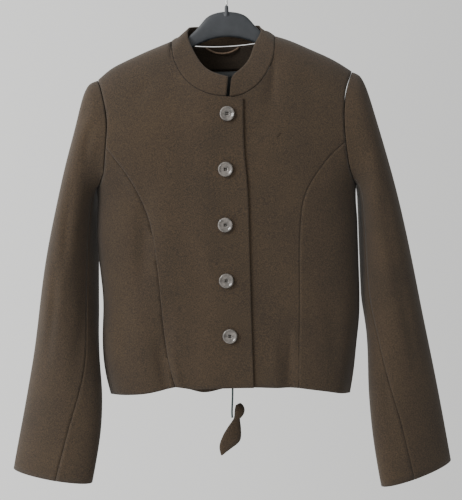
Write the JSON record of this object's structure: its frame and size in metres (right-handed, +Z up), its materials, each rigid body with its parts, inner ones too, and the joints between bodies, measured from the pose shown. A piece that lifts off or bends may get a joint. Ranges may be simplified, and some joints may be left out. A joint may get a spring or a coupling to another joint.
{
  "type": "tyrolean loden jacket on a clothes hanger",
  "caption": "Short buttoned loden jacket with a stand collar, princess seams and two-piece sleeves, hanging on a plastic clothes hanger with a wire hook.",
  "frame": {"origin": "inside top of the hanger's hook, where a rail holds it", "axes": "+Z up, +X towards the wearer's left, +Y towards the wearer's back, so the front faces -Y"},
  "size_m": [0.6928, 0.1518, 0.8118],
  "materials": {
    "loden": "brown melange felted wool, matt with a soft nap",
    "lining": "dark blue smooth lining",
    "satin": "light brown satin cord",
    "horn": "glossy grey-brown horn",
    "ribbon": "dark green satin ribbon",
    "hanger_plastic": "dark blue-black satin plastic",
    "hook_wire": "plain steel wire"
  },
  "bodies": {
    "root": {"front_right": "loden", "front_right_side": "loden", "front_left": "loden", "front_left_side": "loden", "back": "loden", "back_neck_facing": "loden", "back_lining": "lining", "sleeve_right_upper": "loden", "sleeve_right_under": "loden", "sleeve_left_upper": "loden", "sleeve_left_under": "loden", "collar": "loden", "hanging_loop": "satin", "button_1": "horn", "button_2": "horn", "button_3": "horn", "button_4": "horn", "button_5": "horn", "ribbon": "ribbon", "ribbon_scrap": "loden", "hanger": "hanger_plastic", "hanger_hook": "hook_wire"}
  },
  "joints": []
}
